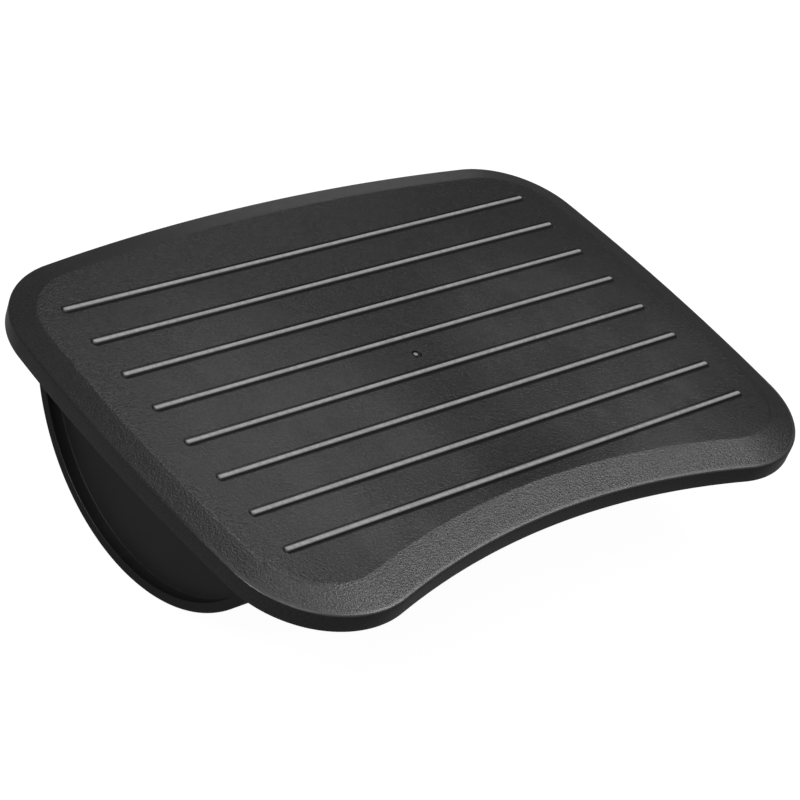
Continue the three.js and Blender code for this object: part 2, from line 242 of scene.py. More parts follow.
def slot_outline(length, width):
    """A long outline with two round ends."""
    radius = width / 2
    reach = length / 2 - radius
    right = arc(Vector((reach, 0)), radius, -quarter_turn, quarter_turn, round_end_steps)
    left = arc(Vector((-reach, 0)), radius, quarter_turn, 3 * quarter_turn, round_end_steps)
    return [*right, Vector((reach, radius)), *left, Vector((-reach, -radius))]


def strip_groove(mesh, y):
    """One groove, from its flat margin on the panel down to its floor."""
    centre = Vector((0, y))
    length = strip_length + 2 * groove_clearance
    width = strip_width + 2 * groove_clearance
    lip_bend = groove_lip * groove_lip_share
    rings = []
    for spread, depth in (
            (flat_margin, 0), (groove_lip, 0), (lip_bend, lip_bend), (0, groove_lip), (0, groove_depth)):
        outline = slot_outline(length + 2 * spread, width + 2 * spread)
        rings.append(ring(mesh, [centre + p for p in outline], panel_top - depth))
    bridge(mesh, rings)
    mesh.faces.new(rings[-1])
    return rings[0]


rows_middle = (strip_centres[0] + strip_centres[-1]) / 2
gate_mark_radius = 3.5 * mm
gate_mark_depth = 1.4 * mm
gate_mark_steps = 40
# From the rim inwards: the radius, the depth, and how far left of the middle the round lies.
gate_mark_shares = (
    (1.34, 0, 0), (1.06, 0, 0), (1, 0.03, 0), (0.95, 0.12, 0), (0.9, 0.35, 0),
    (0.86, 0.65, 0), (0.82, 0.88, 0), (0.76, 1, 0), (0.56, 1, 0.16), (0.5, 0.92, 0.22),
    (0.46, 0.6, 0.26), (0.43, 0.25, 0.28), (0.4, 0.08, 0.28), (0.33, 0, 0.28), (0.1, 0, 0.28),
)


def left_of_middle(share):
    """A point in the gate mark, by a share of its radius."""
    return rows_middle.xy - Vector((gate_mark_radius * share, 0))


def gate_mark(mesh):
    """The round dish where the plastic entered the mould, with the trimmed stub left of its middle."""
    rings = []
    for radius_share, depth_share, aside_share in gate_mark_shares:
        radius = gate_mark_radius * radius_share
        circle = arc(left_of_middle(aside_share), radius, 0, whole_turn, gate_mark_steps)
        rings.append(ring(mesh, circle, panel_top - gate_mark_depth * depth_share))
    bridge(mesh, rings)
    mesh.faces.new(rings[-1])
    return rings[0]


crease_shares = (-1, -0.5, 0, 0.5, 1)
slope_shares = (0.3, 0.6, 0.85)
lip_turns = [math.radians(degrees) for degrees in range(84, -1, -14)]
foot_turns = [math.radians(degrees) for degrees in (0, 22.5, 45, 67.5, 90)]


def plate_shell():
    """The plate without what is moulded under it."""
    mesh = bmesh.new()
    grown = [edge - panel for edge, panel in zip(outer_edge, panel_edge)]
    widths = [g.length - edge_round for g in grown]
    slopes = [border_drop / w for w in widths]
    ways = [g.normalized() for g in grown]
    flat_edge = [p - w * crease_margin for p, w in zip(panel_edge, ways)]

    def crease_ring(distance):
        """A ring in the round between the panel and its border."""
        points = [p + w * distance for p, w in zip(panel_edge, ways)]
        bend = (distance + crease_round) ** 2 / (4 * crease_round)
        return ring(mesh, points, [panel_top - slope * bend for slope in slopes])

    def slope_ring(share):
        """A ring on the sloping border."""
        reach = [crease_round + (w - crease_round) * share for w in widths]
        points = [p + w * r for p, w, r in zip(panel_edge, ways, reach)]
        return ring(mesh, points, [panel_top - s * r for s, r in zip(slopes, reach)])

    def wall_ring(inset, height):
        """A ring set in from the plate's outer edge."""
        return ring(mesh, [p - o * inset for p, o in zip(outer_edge, outward)], height)

    def foot_ring(turn, inset, outward_sign):
        """A ring in the rounded foot of the skirt."""
        return wall_ring(
            inset + outward_sign * skirt_round * (1 - math.cos(turn)),
            skirt_bottom + skirt_round * (1 - math.sin(turn)))

    flat = ring(mesh, flat_edge, panel_top)
    crease = [crease_ring(crease_round * share) for share in crease_shares]
    slope = [slope_ring(share) for share in slope_shares]
    lip = [wall_ring(edge_round * (1 - math.cos(turn)), edge_top - edge_round * (1 - math.sin(turn)))
           for turn in lip_turns]
    foot = [foot_ring(turn, 0, 1) for turn in foot_turns]
    inner_foot = [foot_ring(turn, plate_wall, -1) for turn in reversed(foot_turns)]
    inside = [
        wall_ring(plate_wall, skirt_bottom + skirt_depth / 2),
        wall_ring(plate_wall, edge_top - plate_wall - edge_round),
        wall_ring(plate_wall + edge_round, edge_top - plate_wall),
        ring(mesh, panel_edge, panel_underside),
    ]
    under = ring(mesh, flat_edge, panel_underside)
    bridge(mesh, [flat, *crease, *slope, *lip, *foot, *inner_foot, *inside, under])
    holes = [strip_groove(mesh, centre.y) for centre in strip_centres]
    fill(mesh, [flat, *holes, gate_mark(mesh)])
    fill(mesh, [under])
    return piece("foot_plate_moulding", mesh)


rib_thickness = 1.8 * mm
rib_setback = 3 * mm
rib_pitch = 44.5 * mm
rib_sink = 0.8 * mm
rib_nose_round = 0.5 * mm
rib_nose_steps = 3
drum_rib_gap = 1 * mm
front_and_back_ribs = range(-4, 5)
flank_ribs = range(-2, 3)


def outline_reach(outline, fixed, value, sign):
    """Where a line across the plate meets an outline, on its positive or negative side."""
    along = 1 - fixed
    best = 0
    for one, other in zip(outline, outline[1:] + outline[:1]):
        if (one[fixed] - value) * (other[fixed] - value) > 0 or one[fixed] == other[fixed]:
            continue
        share = (value - one[fixed]) / (other[fixed] - one[fixed])
        reach = sign * (one[along] + (other[along] - one[along]) * share)
        best = max(best, reach)
    return sign * best


def under_rib(mesh, fixed, value, start, sign):
    """A rib from beside the drum out into the skirt, whose top follows the border's underside."""
    low = skirt_bottom + rib_setback
    end = outline_reach(edge_outline(plate_wall / 2), fixed, value, sign)
    bend = outline_reach(panel_edge, fixed, value, sign)
    inner = panel_underside + rib_sink
    outer = edge_top - plate_wall + rib_sink
    side = [(start, low), (end, low), (end, outer), (bend, inner), (start, inner)]
    if sign * (bend - start) < rib_sink:
        side = [(start, low), (end, low), (end, outer), (start, outer)]
    faces = []
    for offset in (-rib_thickness / 2, rib_thickness / 2):
        corners = []
        for along, height in side:
            flat = [along, along]
            flat[fixed] = value + offset
            corners.append(mesh.verts.new((*flat, height)))
        faces.append(corners)
    mesh.faces.new(faces[0])
    mesh.faces.new(faces[1])
    bridge(mesh, faces)
    noses = [mesh.edges.get((f[0], f[1])) for f in faces]
    bmesh.ops.bevel(
        mesh, geom=noses, offset=rib_nose_round, segments=rib_nose_steps, affect="EDGES", profile=0.5)


drum_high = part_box("rocker_drum")[1]
tread_proud = 0.8 * mm
drum_radius = 118 * mm
drum_wall = 3.2 * mm
axis_height = tread_proud + drum_radius
drum_top = drum_high.z
drum_half_length = drum_high.x
side_panel_setback = 8.4 * mm
side_panel_thickness = 3 * mm
side_panel_inside = drum_half_length - side_panel_setback - side_panel_thickness


def half_chord(radius, height):
    """Half the width of a round of the drum at a height."""
    return math.sqrt(radius ** 2 - (axis_height - height) ** 2)


screw_names = [f"screw_{i}" for i in range(1, 9)]
screw_boxes = [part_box(name) for name in screw_names]
screw_places = [(low + high) / 2 for low, high in screw_boxes]
boss_radius = 4.5 * mm
boss_end = plate_low.z
boss_steps = 32
pilot_radius = 2.2 * mm
pilot_depth = 10 * mm


def screw_boss(mesh, place):
    """A boss under the plate with the hole that its screw cuts into."""
    rings = []
    for radius, height in (
            (boss_radius, panel_underside + rib_sink), (boss_radius, boss_end),
            (pilot_radius, boss_end), (pilot_radius, boss_end + pilot_depth)):
        rings.append(ring(mesh, arc(place.xy, radius, 0, whole_turn, boss_steps), height))
    close(mesh, rings)


tab_thickness = 2 * mm
tab_depth = 6 * mm
tab_clearance = 0.4 * mm
tab_half_length = 26.5 * mm


def locating_tab(mesh, low, high):
    """A tab that stands just inside one of the drum's walls."""
    corners = ((low[0], low[1]), (high[0], low[1]), (high[0], high[1]), (low[0], high[1]))
    outline = [Vector(corner) for corner in corners]
    heights = (panel_underside - tab_depth, panel_underside + rib_sink)
    close(mesh, [ring(mesh, outline, height) for height in heights])


def plate_underside():
    """Ribs, bosses and tabs, as one set of closed solids to join to the shell."""
    mesh = bmesh.new()
    beside_drum = half_chord(drum_radius, drum_top) + drum_rib_gap
    past_drum = drum_half_length + drum_rib_gap
    for fixed, ribs, start in ((0, front_and_back_ribs, beside_drum), (1, flank_ribs, past_drum)):
        for i in ribs:
            for sign in (-1, 1):
                under_rib(mesh, fixed, i * rib_pitch, sign * start, sign)
    for place in screw_places:
        screw_boss(mesh, place)
    tab_y = half_chord(drum_radius - drum_wall, panel_underside - tab_depth) - tab_clearance
    for place in screw_places:
        face = math.copysign(tab_y, place.y)
        back = math.copysign(tab_y - tab_thickness, place.y)
        locating_tab(mesh, (place.x - tab_half_length, min(face, back)),
                     (place.x + tab_half_length, max(face, back)))
    for sign in (-1, 1):
        face = sign * (side_panel_inside - tab_clearance)
        back = sign * (side_panel_inside - tab_clearance - tab_thickness)
        locating_tab(mesh, (min(face, back), -tab_half_length), (max(face, back), tab_half_length))
    return piece("plate_underside", mesh)


class Shade:
    """A shader socket that Python's arithmetic works on."""

    def __init__(self, finish, socket):
        self.finish = finish
        self.socket = socket

    def maths(self, operation, *operands):
        """The outcome of a Math node."""
        return self.finish.make("ShaderNodeMath", {"operation": operation}, dict(enumerate(operands)))

    def __add__(self, other):
        return self.maths("ADD", self, other)

    def __radd__(self, other):
        return self.maths("ADD", other, self)

    def __sub__(self, other):
        return self.maths("SUBTRACT", self, other)

    def __rsub__(self, other):
        return self.maths("SUBTRACT", other, self)

    def __mul__(self, other):
        return self.maths("MULTIPLY", self, other)

    def __rmul__(self, other):
        return self.maths("MULTIPLY", other, self)

    def root(self):
        """The square root."""
        return self.maths("SQRT", self)

    def size(self):
        """The value without its sign."""
        return self.maths("ABSOLUTE", self)

    def fraction(self):
        """What is past the last whole number."""
        return self.maths("FRACT", self)

    def above_zero(self):
        """The value, or 0 where it is negative."""
        return self.maths("MAXIMUM", self, 0)

    def between(self, low, high):
        """0 below low, 1 above high, with soft ends."""
        return self.finish.make(
            "ShaderNodeMapRange", {"interpolation_type": "SMOOTHSTEP"},
            {"Value": self, "From Min": low, "From Max": high}, "Result")


mix_one_socket = 6
mix_other_socket = 7
mix_colour_output = 2


def scaled(colour, share):
    """A colour made darker or lighter."""
    return tuple(c * share for c in colour)


class Finish:
    """One procedural material."""

    def __init__(self, name):
        self.material = bpy.data.materials.new(name)
        self.material.use_nodes = True
        self.tree = self.material.node_tree
        self.shader = self.tree.nodes["Principled BSDF"]
        self.place = self.make("ShaderNodeTexCoord", output="Object")

    def make(self, kind, settings=None, sockets=None, output=0):
        """Adds a node: its type, its settings, and the values or links of its sockets."""
        node = self.tree.nodes.new(kind)
        for key, value in (settings or {}).items():
            setattr(node, key, value)
        for key, value in (sockets or {}).items():
            self.connect(node.inputs[key], value)
        return Shade(self, node.outputs[output])

    def connect(self, entry, value):
        """Links a socket, or sets its value."""
        if isinstance(value, Shade):
            self.tree.links.new(value.socket, entry)
        else:
            entry.default_value = value

    def noise(self, scale, detail=2.0, roughness=0.5, place=None):
        """Noise from 0 to 1 with its middle at 0.5, with so many bumps a metre."""
        sockets = {"Vector": place or self.place, "Scale": scale, "Detail": detail, "Roughness": roughness}
        return self.make("ShaderNodeTexNoise", None, sockets, "Fac")

    def stretched(self, scale):
        """The place, scaled along each axis."""
        return self.make("ShaderNodeVectorMath", {"operation": "MULTIPLY"}, {0: self.place, 1: scale})

    def axis(self, name):
        """One coordinate of the place, in metres."""
        return self.make("ShaderNodeSeparateXYZ", None, {"Vector": self.place}, name)

    def mix(self, mask, one, other):
        """A colour that goes from one to the other as the mask goes from 0 to 1."""
        sockets = {"Factor": mask, mix_one_socket: self.colour(one), mix_other_socket: self.colour(other)}
        return self.make("ShaderNodeMix", {"data_type": "RGBA"}, sockets, mix_colour_output)

    def colour(self, value):
        """What a colour socket takes: a link, or a colour with its alpha."""
        return value if isinstance(value, Shade) else (*value, 1.0)

    def mottled(self, mask, colour, shares):
        """A colour that goes from one share of itself to another as the mask goes from 0 to 1."""
        return self.mix(mask, scaled(colour, shares[0]), scaled(colour, shares[1]))

    def layered(self, tone, colour, masks, layer_shares):
        """A tone with layers over it. Each has its cover, and its tone as a share of the colour."""
        for name, (cover_share, tone_share) in layer_shares.items():
            tone = self.mix(masks[name] * cover_share, tone, scaled(colour, tone_share))
        return tone

    def bump(self, height, distance, strength=1.0):
        """A normal that leans with a relief."""
        sockets = {"Height": height, "Distance": distance, "Strength": strength}
        return self.make("ShaderNodeBump", None, sockets, "Normal")

    def set(self, **sockets):
        """Links or sets sockets of the shader, by their names in small letters."""
        for key, value in sockets.items():
            name = key.replace("_", " ").title().replace("Ior", "IOR")
            self.connect(self.shader.inputs[name], value)


noise_middle = 0.5
narrow_band = (0.35, 0.65)
broad_band = (0.3, 0.7)

land_width = 1.5 * mm
land_fade = 0.7 * mm
end_narrowing = 1.5
stub_fade_share = 1.4
shoe_spacing = 230 * mm
shoe_reach = Vector((95 * mm, 135 * mm))
shoes_before_middle = 35 * mm
shoe_band = (0.1, 1.3)
facing_band = (0.05, 0.3)


def plan_distance(finish, place):
    """The distance in plan from a point."""
    across = finish.axis("X") - place.x
    along = finish.axis("Y") - place.y
    return (across * across + along * along).root()


def smooth_lands(finish):
    """1 on the smooth lands round the grooves, 0 where the grain starts."""
    pitch = (strip_centres[0].y - strip_centres[-1].y) / (len(strip_centres) - 1)
    along = finish.axis("Y") - rows_middle.y
    from_row = ((along * (1 / pitch)).fraction() - 0.5).size() * pitch
    past_end = (finish.axis("X").size() - (strip_length - strip_width) / 2).above_zero() * end_narrowing
    from_slot = (from_row * from_row + past_end * past_end).root()
    edge = strip_width / 2 + groove_clearance + land_width
    last_row = pitch * len(strip_centres) / 2
    past_rows = along.size().between(last_row - land_width, last_row)
    return (1 - from_slot.between(edge, edge + land_fade)) * (1 - past_rows)


def gate_dish(finish):
    """1 in the gate mark, 0 round it."""
    from_gate = plan_distance(finish, left_of_middle(0))
    return 1 - from_gate.between(gate_mark_radius - land_fade / 2, gate_mark_radius + land_fade / 2)


def trimmed_stub(finish):
    """1 on the cut top of the gate mark's stub."""
    radius_share, _, aside_share = gate_mark_shares[-2]
    radius = gate_mark_radius * radius_share
    on_top = finish.axis("Z").between(panel_top - gate_mark_depth / 2, panel_top - gate_mark_depth / 10)
    from_stub = plan_distance(finish, left_of_middle(aside_share))
    return on_top * (1 - from_stub.between(radius, radius * stub_fade_share))


def under_shoes(finish):
    """1 in the two patches that the shoes rub, 0 away from them."""
    across = (finish.axis("X").size() - shoe_spacing / 2) * (1 / shoe_reach.x)
    along = (finish.axis("Y") + shoes_before_middle) * (1 / shoe_reach.y)
    return 1 - (across * across + along * along).between(*shoe_band)


def looks_up(finish):
    """1 where the surface looks upwards, 0 on walls and on the underside."""
    facing = finish.make("ShaderNodeTexCoord", output="Normal")
    return finish.make("ShaderNodeSeparateXYZ", None, {"Vector": facing}, "Z").between(*facing_band)


plastic_colour = (0.0205, 0.0205, 0.021)
grain_scale = 760
grain_depth = 0.36 * mm
pit_scale = 1900
pit_share = 0.2
cloud_scale = 11
cloud_shares = (0.9, 1.1)
blotch_scale = 24
blotch_stretch = (1.3, 0.8, 1)
least_wear_and_sheen = 0.55
wear_and_sheen_spread = 0.6
panel_fade_start = 0.5 * mm
panel_fade_end = 0.1 * mm
edge_highlight_band = 0.9 * mm
front_start = 45 * mm
front_end = 110 * mm
front_shade_gain = 2
plate_layer_shares = {
    # Painted sheen: the shoe patches' colour is painted lighter, over their real wear.
    "wear_and_sheen": (0.85, 2.3),
    # Painted highlight: the grain's peaks are painted lighter than its hollows.
    "highlit_grain_peaks": (0.6, 1.9),
    # Painted shade: the panel away from the shoe patches is painted darker, most towards the front.
    "plain": (0.1, 0.4),
    # Painted highlight along the front edge.
    "edge": (0.8, 4.0),
    # Painted shade on the smooth lands beside the grooves.
    "land": (0.8, 0.3),
    # Painted shade in the gate mark's dish.
    "dish": (0.9, 0.1),
    # Painted highlight on the trimmed stub's cut top.
    "stub": (0.95, 20),
}
plate_roughness = 0.225
plate_roughness_gains = {
    "wear_and_sheen": 0.05, "off_shoe_panel": -0.03, "cloud": 0.06, "highlit_grain_peaks": -0.05, "land": -0.09, "dish": 0.3}
least_coarseness = 0.6
front_coarseness = 0.35
panel_coarseness = 0.45
unworn_front_fineness = 0.4
edge_fineness = 0.6


def grained_plastic():
    """Dark grey plastic with a spark-eroded grain, worn by shoes, with painted sheen, shade and
    highlights.
    """
    finish = Finish("grained_plastic")
    grain = finish.noise(grain_scale, roughness=0.55)
    pits = finish.noise(pit_scale, detail=1.0)
    cloud = finish.noise(cloud_scale, detail=3.0, roughness=0.6)
    blotch = finish.noise(blotch_scale, detail=3.0, roughness=0.6, place=finish.stretched(blotch_stretch))
    height = finish.axis("Z")
    top_side = looks_up(finish)
    # The shoe patches: real wear, whose colour is also painted lighter as a painted sheen.
    wear_and_sheen = under_shoes(finish) * (least_wear_and_sheen + wear_and_sheen_spread * blotch.between(*narrow_band)) * top_side
    on_panel = height.between(panel_top - panel_fade_start, panel_top - panel_fade_end)
    off_shoe_panel = (1 - wear_and_sheen) * on_panel
    front = 1 - finish.axis("Y").between(plate_low.y + front_start, plate_low.y + front_end)
    # A painted highlight along the upper side of the front edge's rounding.
    edge = height.between(edge_top - edge_highlight_band, edge_top - edge_highlight_band / 2) * front * top_side
    edge = edge * (1 - height.between(edge_top, edge_top + edge_highlight_band / 3))
    masks = {
        "wear_and_sheen": wear_and_sheen,
        "off_shoe_panel": off_shoe_panel,
        # Painted shade on the panel away from the shoe patches, stronger towards the front.
        "plain": off_shoe_panel * (1 + front * front_shade_gain),
        "cloud": cloud,
        "highlit_grain_peaks": grain.between(*narrow_band),
        "edge": edge,
        "land": smooth_lands(finish),
        "dish": gate_dish(finish),
        "stub": trimmed_stub(finish),
    }
    roughness = plate_roughness
    for name, gain in plate_roughness_gains.items():
        roughness = roughness + masks[name] * gain
    coarse = least_coarseness + front * (1 - on_panel) * front_coarseness
    coarse = coarse + on_panel * panel_coarseness - front * off_shoe_panel * unworn_front_fineness
    coarse = coarse * (1 - masks["land"] - masks["dish"]) * (1 - edge * edge_fineness)
    relief = (grain * (1 - pit_share) + pits * pit_share - noise_middle) * coarse
    tone = finish.mottled(cloud.between(*broad_band), plastic_colour, cloud_shares)
    finish.set(
        base_color=finish.layered(tone, plastic_colour, masks, plate_layer_shares),
        roughness=roughness,
        normal=finish.bump(relief, grain_depth),
        specular_ior_level=0.5,
    )
    return finish.material


foot_plate = plate_shell()
carve(foot_plate, plate_underside(), "UNION")
smooth(foot_plate)
foot_plate.data.materials.clear()
foot_plate.data.materials.append(grained_plastic())
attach(foot_plate, "root")
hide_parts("foot_plate")


# Grip strips: eight soft grey rubber cords with round ends, pressed into the panel's grooves. Each has a
# crowned top that stands a little proud of the panel, so that shoes don't slide.

strip_top = strip_boxes[0][1].z
strip_bottom = strip_boxes[0][0].z
strip_crown = 0.8 * mm
strip_foot_chamfer = 0.15 * mm
crown_turns = [math.radians(10.5 * i) for i in range(1, 9)]


def grip_strip(name, y):
    """One strip, from its chamfered foot up to its crown."""
    mesh = bmesh.new()
    centre = Vector((0, y))
    shoulder = strip_top - strip_crown
    levels = [(strip_foot_chamfer, strip_bottom), (0, strip_bottom + strip_foot_chamfer), (0, shoulder)]
    for turn in crown_turns:
        levels.append((strip_width / 2 * (1 - math.cos(turn)), shoulder + strip_crown * math.sin(turn)))
    rings = []
    for inset, height in levels:
        outline = slot_outline(strip_length - 2 * inset, strip_width - 2 * inset)
        rings.append(ring(mesh, [centre + p for p in outline], height))
    close(mesh, rings)
    return piece(name, mesh)


strip_colour = (0.46, 0.46, 0.455)
mottle_scale = 420
mottle_shares = (0.8, 1.15)
mottle_relief_share = 0.4
bloom_scale = 30
bloom_band = (0.35, 0.75)
strip_fine_scale = 1900
crown_share = 0.7
# Painted shade: the strips' sides below the top of the crown are painted darker.
strip_layer_shares = {"bloom": (0.3, 1.2), "shaded_sides": (0.85, 0.15)}
strip_roughness = 0.62
bloom_roughness = 0.12
strip_relief = 0.08 * mm


def strip_rubber():
    """Mid grey rubber, slightly mottled, with painted shade low on its sides."""
    finish = Finish("strip_rubber")
    mottle = finish.noise(mottle_scale, detail=3.0, roughness=0.6)
    bloom = finish.noise(bloom_scale)
    fine = finish.noise(strip_fine_scale)
    tone = finish.mottled(mottle.between(*broad_band), strip_colour, mottle_shares)
    masks = {
        "bloom": bloom.between(*bloom_band),
        "shaded_sides": 1 - finish.axis("Z").between(strip_top - strip_crown * crown_share, strip_top),
    }
    relief = fine * (1 - mottle_relief_share) + mottle * mottle_relief_share
    finish.set(
        base_color=finish.layered(tone, strip_colour, masks, strip_layer_shares),
        roughness=strip_roughness + bloom * bloom_roughness,
        normal=finish.bump(relief, strip_relief, strength=0.6),
        specular_ior_level=0.4,
    )
    return finish.material


rubber_grey = strip_rubber()
for name, centre in zip(strip_names, strip_centres):
    strip = grip_strip(name + "_rubber", centre.y)
    strip.data.materials.append(rubber_grey)
    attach(strip, "root")
    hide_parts(name)


# Rocker drum: a half drum moulded in one piece, which rolls on the floor. Its curved wall ends in two
# thick rims, with a side panel set back inside each, and bulkheads stiffen it inside. Screws go up
# through wells in its underside.

rim_thickness = 6.2 * mm
rim_band_width = 30 * mm
rim_edge_round = 0.9 * mm
rim_inner_round = 0.7 * mm
rim_root_round = 0.4 * mm
band_fillet = 2 * mm
bulkhead_half = 1 * mm
bulkhead_fillet = 1 * mm
profile_foot = 12 * mm
fillet_steps = 5
turn_step = math.radians(1.25)


def rounded(corners):
    """A closed outline whose corners (x, y, radius) are rounded."""
    points = []
    for i, (x, y, radius) in enumerate(corners):
        here = Vector((x, y))
        if not radius:
            points.append(here)
            continue
        back = (Vector(corners[i - 1][:2]) - here).normalized()
        ahead = (Vector(corners[(i + 1) % len(corners)][:2]) - here).normalized()
        half = back.angle(ahead) / 2
        reach = radius / math.tan(half)
        centre = here + (back + ahead).normalized() * radius / math.sin(half)
        start = angle_from(centre, here + back * reach)
        sweep = (angle_from(centre, here + ahead * reach) - start + math.pi) % whole_turn - math.pi
        for k in range(fillet_steps + 1):
            turn = start + sweep * k / fillet_steps
            points.append(centre + radius * Vector((math.cos(turn), math.sin(turn))))
    return points


def revolve(mesh, profile, half_angle):
    """Turns a closed outline of (x, radius) about the drum's axis, to both sides of straight down."""
    count = round(2 * half_angle / turn_step)
    rings = []
    for i in range(count + 1):
        turn = -half_angle + 2 * half_angle * i / count
        rings.append([mesh.verts.new((p.x, p.y * math.sin(turn), axis_height - p.y * math.cos(turn)))
                      for p in profile])
    bridge(mesh, rings)
    fill(mesh, [rings[0]])
    fill(mesh, [rings[-1]])


def drum_profile():
    """Half of the drum's section through its axis, mirrored into a whole one."""
    outer = drum_radius
    wall = drum_radius - drum_wall
    rim = drum_radius - rim_thickness
    face = drum_half_length - side_panel_setback
    band = drum_half_length - rim_band_width
    cell = side_panel_inside / 2
    right = [
        (drum_half_length, outer, rim_edge_round), (drum_half_length, rim, rim_inner_round),
        (face, rim, rim_root_round), (face, profile_foot, 0),
        (side_panel_inside, profile_foot, 0), (side_panel_inside, rim, band_fillet),
        (band, rim, band_fillet), (band - drum_wall, wall, band_fillet),
        (cell + bulkhead_half, wall, bulkhead_fillet), (cell + bulkhead_half, profile_foot, 0),
        (cell - bulkhead_half, profile_foot, 0), (cell - bulkhead_half, wall, bulkhead_fillet),
        (bulkhead_half, wall, bulkhead_fillet), (bulkhead_half, profile_foot, 0),
    ]
    left = [(-x, r, radius) for x, r, radius in reversed(right)]
    return rounded([*right, *left])


def ring_sector(low_x, high_x, inner, outer, half_angle):
    """Part of a thick ring round the drum's axis."""
    mesh = bmesh.new()
    corners = ((low_x, inner), (high_x, inner), (high_x, outer), (low_x, outer))
    revolve(mesh, [Vector(corner) for corner in corners], half_angle)
    return piece("sector", mesh)


def bars(name, places, levels, steps):
    """Upright round bars, one at each place, from (radius, height) pairs."""
    mesh = bmesh.new()
    for place in places:
        close(mesh, [ring(mesh, arc(place.xy, radius, 0, whole_turn, steps), height)
                     for radius, height in levels])
    return piece(name, mesh)


tread_names = ("floor_tread_left", "floor_tread_right")
tread_boxes = [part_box(name) for name in tread_names]
tread_half_angle = math.radians(42.5)
tread_groove_depth = 1.4 * mm
tread_cut_margin = 2.5 * mm
well_steps = 40
well_radius = 5 * mm
well_wall = 2 * mm
well_floor = 2.5 * mm
well_half_angle = math.radians(80)
screw_hole_radius = 2.2 * mm
seat_gap = 0.3 * mm
well_seat = boss_end - seat_gap


def well_bars(name, radius, top, bottom):
    """Straight round bars at the screws' places."""
    return bars(name, screw_places, [(radius, top), (radius, bottom)], well_steps)


def rocker_drum():
    """The drum, cut level at the top, with its wells and its tread grooves."""
    mesh = bmesh.new()
    revolve(mesh, drum_profile(), quarter_turn)
    everything = [*mesh.verts, *mesh.edges, *mesh.faces]
    bmesh.ops.bisect_plane(
        mesh, geom=everything, plane_co=(0, 0, drum_top), plane_no=(0, 0, 1), clear_outer=True)
    rim = [edge for edge in mesh.edges if edge.is_boundary]
    bmesh.ops.triangle_fill(mesh, use_beauty=True, edges=rim)
    made = piece("rocker_drum_moulding", mesh)
    inside_wall = drum_radius - drum_wall / 2
    tubes = well_bars("well_tubes", well_radius + well_wall, well_seat, axis_height - inside_wall)
    keep = ring_sector(-drum_half_length, drum_half_length, profile_foot, inside_wall, well_half_angle)
    carve(tubes, keep, "INTERSECT")
    carve(made, tubes, "UNION")
    carve(made, well_bars("well_bores", well_radius, well_seat - well_floor, 0), "DIFFERENCE")
    carve(made, well_bars("screw_holes", screw_hole_radius, well_seat + well_floor, 0), "DIFFERENCE")
    for low, high in tread_boxes:
        groove = ring_sector(
            low.x - groove_clearance, high.x + groove_clearance, drum_radius - tread_groove_depth,
            drum_radius + tread_cut_margin, tread_half_angle + groove_clearance / drum_radius)
        carve(made, groove, "DIFFERENCE")
    smooth(made)
    return made


drum_colour = (0.021, 0.021, 0.022)
drum_cloud_scale = 14
drum_cloud_shares = (0.9, 1.15)
drum_fine_scale = 1500
scuff_scale = 120
scuff_stretch = (0.25, 1.6, 1.6)
scuff_band = (0.55, 0.75)
scuff_heights = (4 * mm, 45 * mm)
rim_fade_end = 1 * mm
# Painted shade: the rims are painted darker than the side panels and the curved wall.
drum_layer_shares = {"rim": (1, 0.4), "scuff": (0.3, 2.2)}
drum_roughness = 0.42
drum_cloud_roughness = 0.1
scuff_roughness = 0.15
drum_relief = 0.06 * mm


def satin_plastic():
    """Black plastic from a smooth mould, a little cloudy, with faint scuffs round its curved wall and
    painted shade on its rims.
    """
    finish = Finish("satin_plastic")
    cloud = finish.noise(drum_cloud_scale, detail=3.0, roughness=0.6)
    fine = finish.noise(drum_fine_scale)
    scuff = finish.noise(scuff_scale, detail=4.0, roughness=0.65, place=finish.stretched(scuff_stretch))
    scuff = scuff.between(*scuff_band) * (1 - finish.axis("Z").between(*scuff_heights))
    rim = finish.axis("X").size().between(
        drum_half_length - side_panel_setback, drum_half_length - rim_fade_end)
    tone = finish.mottled(cloud.between(*broad_band), drum_colour, drum_cloud_shares)
    finish.set(
        base_color=finish.layered(tone, drum_colour, {"rim": rim, "scuff": scuff}, drum_layer_shares),
        roughness=drum_roughness + cloud * drum_cloud_roughness + scuff * scuff_roughness,
        normal=finish.bump(fine, drum_relief, strength=0.4),
        specular_ior_level=0.5,
    )
    return finish.material


drum = rocker_drum()
drum.data.materials.clear()
drum.data.materials.append(satin_plastic())
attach(drum, "root")
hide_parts("rocker_drum")


# Floor treads: two black rubber bands bonded into shallow grooves round the drum's underside, near its
# rims. They are the only parts that touch the floor, and stop the drum from sliding as it rolls.

tread_edge_round = 0.6 * mm


def floor_tread(name, low, high):
    """One band, with rounded outer edges."""
    mesh = bmesh.new()
    inner = drum_radius - tread_groove_depth + groove_clearance
    outer = axis_height
    profile = rounded([
        (low.x, inner, 0), (high.x, inner, 0),
        (high.x, outer, tread_edge_round), (low.x, outer, tread_edge_round)])
    revolve(mesh, profile, tread_half_angle)
    return piece(name, mesh)


tread_colour = (0.017, 0.017, 0.018)
tread_fine_scale = 900
dust_colour = (0.075, 0.072, 0.068)
dust_scale = 60
dust_band = (0.35, 0.7)
dust_heights = (0.5 * mm, 22 * mm)
dust_cover = 0.45
tread_roughness = 0.72
dust_roughness = 0.14
tread_relief = 0.1 * mm


